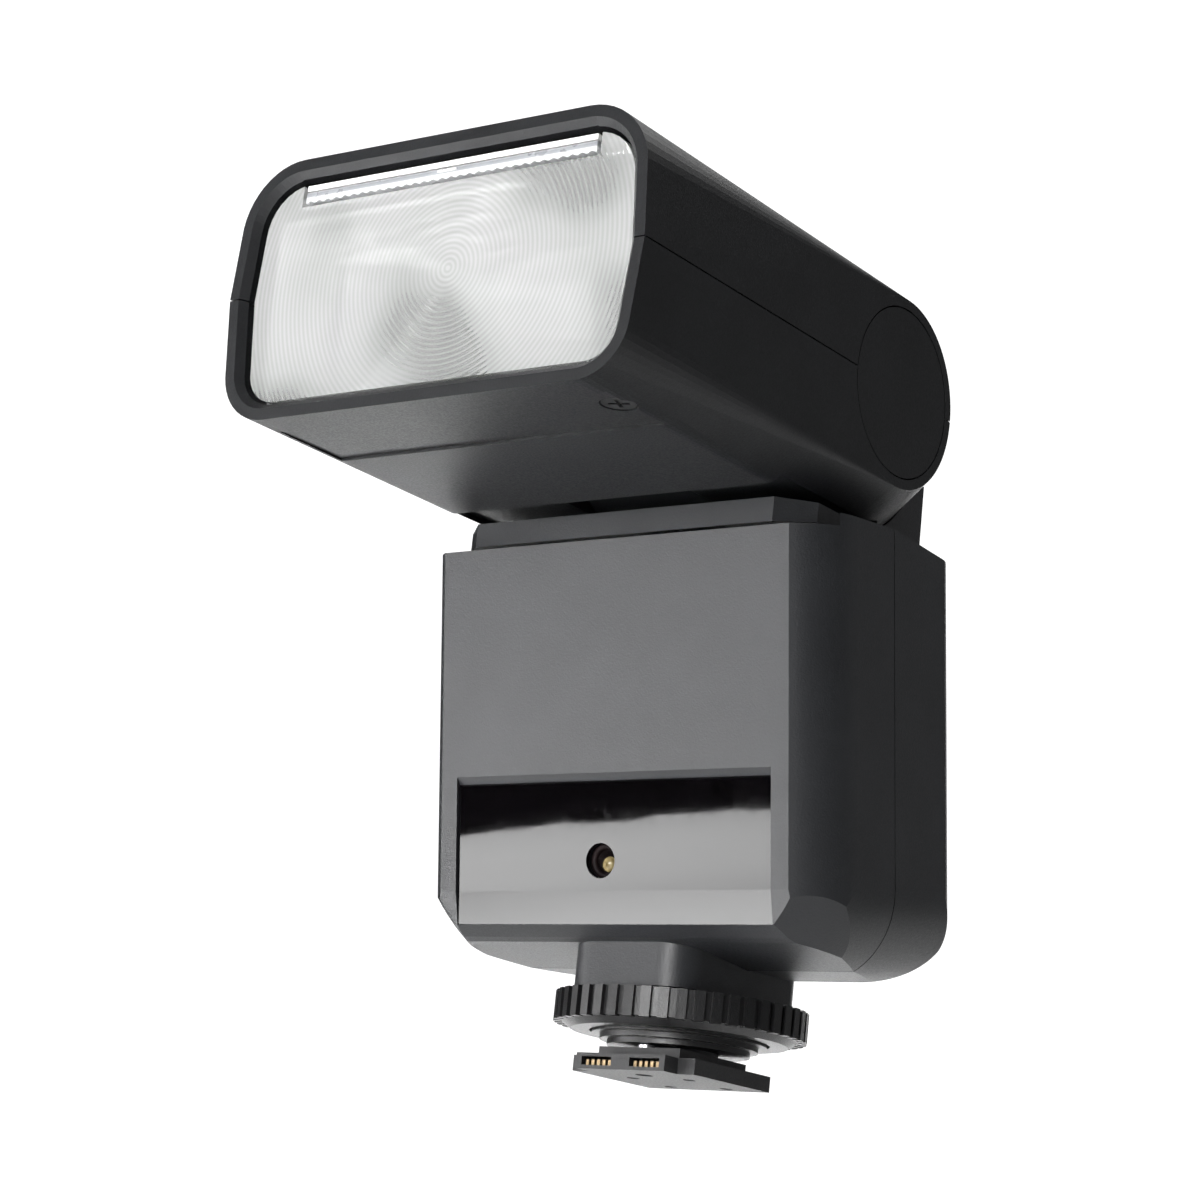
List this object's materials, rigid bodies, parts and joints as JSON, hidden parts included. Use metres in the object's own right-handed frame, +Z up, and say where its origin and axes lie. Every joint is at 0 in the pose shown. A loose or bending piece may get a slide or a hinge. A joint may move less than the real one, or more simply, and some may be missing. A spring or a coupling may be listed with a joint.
{
  "type": "speedlight flash",
  "caption": "Small battery camera flash with a tilting and swivelling zoom head, hinged battery door, rear display controls and a locking hot-shoe foot.",
  "frame": {"origin": "bottom face of the hot-shoe foot, on the locking wheel's axis", "axes": "+Z up out of the shoe, -Y the way the head points at rest, +X across the width"},
  "size_m": [0.0625, 0.0832, 0.1036],
  "materials": {
    "casing_plastic": "fine grained matt black moulded plastic",
    "head_plastic": "fine grained matt black moulded plastic",
    "gloss_black": "polished black, infrared transparent",
    "clear_lens": "clear moulded acrylic",
    "lcd_glass": "flat display cover",
    "lcd_panel": "reflective liquid crystal panel",
    "circuit_board": "glass fibre board",
    "capacitor_sleeve": "shrink sleeve over an aluminium can",
    "copper": "enamelled wire on a core",
    "cell_steel": "nickel plated steel can",
    "spring_steel": "plated spring steel",
    "inner_plastic": "plain black moulded plastic",
    "button_rubber": "soft touch keys",
    "ready_red": "translucent red lamp key",
    "wheel_plastic": "hard black ribbed plastic",
    "contact_brass": "plated contact fingers",
    "steel": "turned steel",
    "white_card": "white reflector card",
    "reflector_silver": "bright anodised aluminium",
    "tube_glass": "xenon filled quartz tube",
    "silicone": "pale silicone boots"
  },
  "bodies": {
    "casing": {"front_shell": "casing_plastic", "rear_shell": "casing_plastic", "sensor_window": "gloss_black", "sensor_lens": "clear_lens", "lcd_window": "lcd_glass", "lcd_module": "lcd_panel", "control_board": "circuit_board", "main_board": "circuit_board", "capacitor": "capacitor_sleeve", "charging_coil": "copper", "battery_cells": "cell_steel", "battery_contacts": "spring_steel", "battery_carrier": "inner_plastic", "door_hinge_pin": "steel", "casing_screws": "steel", "bearing_ring": "steel", "detent_spring": "spring_steel", "neck": "casing_plastic", "foot": "inner_plastic", "foot_contacts": "contact_brass", "foot_screws": "steel"},
    "battery_door": {"battery_door": "casing_plastic"},
    "door_latch": {"door_latch": "casing_plastic"},
    "mode_button": {"mode_button": "button_rubber"},
    "slave_button": {"slave_button": "button_rubber"},
    "zoom_button": {"zoom_button": "button_rubber"},
    "sync_button": {"sync_button": "button_rubber"},
    "test_button": {"test_button": "ready_red"},
    "select_dial": {"select_dial": "wheel_plastic"},
    "set_button": {"set_button": "button_rubber"},
    "power_switch": {"power_switch": "inner_plastic"},
    "lock_wheel": {"lock_wheel": "wheel_plastic"},
    "pressure_plate": {"pressure_plate": "wheel_plastic"},
    "lock_pin": {"lock_pin": "steel"},
    "swivel_base": {"swivel_base": "casing_plastic", "swivel_collar": "steel", "hinge_drum": "head_plastic"},
    "head": {"head_upper_shell": "head_plastic", "head_lower_shell": "head_plastic", "fresnel_lens": "clear_lens", "panel_tray": "inner_plastic", "tilt_axle": "steel", "tilt_cap_left": "head_plastic", "tilt_cap_right": "head_plastic", "friction_washers": "spring_steel", "head_screws": "steel", "head_board": "circuit_board", "guide_rods": "steel", "zoom_motor": "steel", "light_funnel": "reflector_silver"},
    "lead_screw": {"lead_screw": "steel"},
    "zoom_carriage": {"zoom_carriage": "inner_plastic", "reflector": "reflector_silver", "flash_tube": "tube_glass", "tube_boots": "silicone"},
    "wide_panel": {"wide_panel": "clear_lens"},
    "catchlight_panel": {"catchlight_panel": "white_card"}
  },
  "joints": [
    {"name": "head_swivel", "type": "hinge", "parent": "casing", "child": "swivel_base", "pos_m": [0, -0.00822, 0.06785], "axis": [0, -0.1564, 0.9877], "range_deg": [-90, 180]},
    {"name": "head_tilt", "type": "hinge", "parent": "swivel_base", "child": "head", "pos_m": [0, -0.0094, 0.0864], "axis": [-1, 0, 0], "range_deg": [-7, 90]},
    {"name": "zoom_slide", "type": "slide", "parent": "head", "child": "zoom_carriage", "axis": [0, -1, 0], "range_m": [-0.008, 0.008]},
    {"name": "lead_screw_turn", "type": "hinge", "parent": "head", "child": "lead_screw", "pos_m": [-0.0248, -0.0374, 0.0804], "axis": [0, -1, 0], "range_deg": [-1440, 1440]},
    {"name": "wide_panel_slide", "type": "slide", "parent": "head", "child": "wide_panel", "axis": [0, -1, 0], "range_m": [0, 0.03]},
    {"name": "catchlight_slide", "type": "slide", "parent": "head", "child": "catchlight_panel", "axis": [0, -1, 0], "range_m": [0, 0.03]},
    {"name": "battery_door_hinge", "type": "hinge", "parent": "casing", "child": "battery_door", "pos_m": [-0.0297, -0.00161, 0.04024], "axis": [0, 0.1564, -0.9877], "range_deg": [0, 95]},
    {"name": "door_latch_slide", "type": "slide", "parent": "battery_door", "child": "door_latch", "axis": [0, -0.1564, 0.9877], "range_m": [0, 0.0024]},
    {"name": "mode_button_press", "type": "slide", "parent": "casing", "child": "mode_button", "axis": [0, -0.9877, -0.1564], "range_m": [0, 0.0006], "stiffness_N_per_m": 400, "springref_m": -0.0005},
    {"name": "slave_button_press", "type": "slide", "parent": "casing", "child": "slave_button", "axis": [0, -0.9877, -0.1564], "range_m": [0, 0.0006], "stiffness_N_per_m": 400, "springref_m": -0.0005},
    {"name": "zoom_button_press", "type": "slide", "parent": "casing", "child": "zoom_button", "axis": [0, -0.9877, -0.1564], "range_m": [0, 0.0006], "stiffness_N_per_m": 400, "springref_m": -0.0005},
    {"name": "sync_button_press", "type": "slide", "parent": "casing", "child": "sync_button", "axis": [0, -0.9877, -0.1564], "range_m": [0, 0.0006], "stiffness_N_per_m": 400, "springref_m": -0.0005},
    {"name": "test_button_press", "type": "slide", "parent": "casing", "child": "test_button", "axis": [0, -0.9877, -0.1564], "range_m": [0, 0.0006], "stiffness_N_per_m": 400, "springref_m": -0.0005},
    {"name": "select_dial_turn", "type": "hinge", "parent": "casing", "child": "select_dial", "pos_m": [0, 0.01371, 0.0285], "axis": [0, -0.9877, -0.1564], "continuous": true},
    {"name": "set_button_press", "type": "slide", "parent": "casing", "child": "set_button", "axis": [0, -0.9877, -0.1564], "range_m": [0, 0.0006], "stiffness_N_per_m": 400, "springref_m": -0.0005},
    {"name": "power_switch_slide", "type": "slide", "parent": "casing", "child": "power_switch", "axis": [1, 0, 0], "range_m": [0, 0.0024]},
    {"name": "lock_wheel_turn", "type": "hinge", "parent": "casing", "child": "lock_wheel", "pos_m": [0, 0, 0.008], "axis": [0, 0, 1], "range_deg": [0, 270]},
    {"name": "pressure_plate_slide", "type": "slide", "parent": "casing", "child": "pressure_plate", "axis": [0, 0, -1], "range_m": [0, 0.0005]},
    {"name": "lock_pin_slide", "type": "slide", "parent": "casing", "child": "lock_pin", "axis": [0, 0, -1], "range_m": [0, 0.0009]}
  ],
  "couplings": [
    {"joint": "lead_screw_turn", "follows": "zoom_slide", "rad_per_m": 3141.6},
    {"joint": "pressure_plate_slide", "follows": "lock_wheel_turn", "m_per_rad": 0.0001061},
    {"joint": "lock_pin_slide", "follows": "lock_wheel_turn", "m_per_rad": 0.00019099}
  ]
}
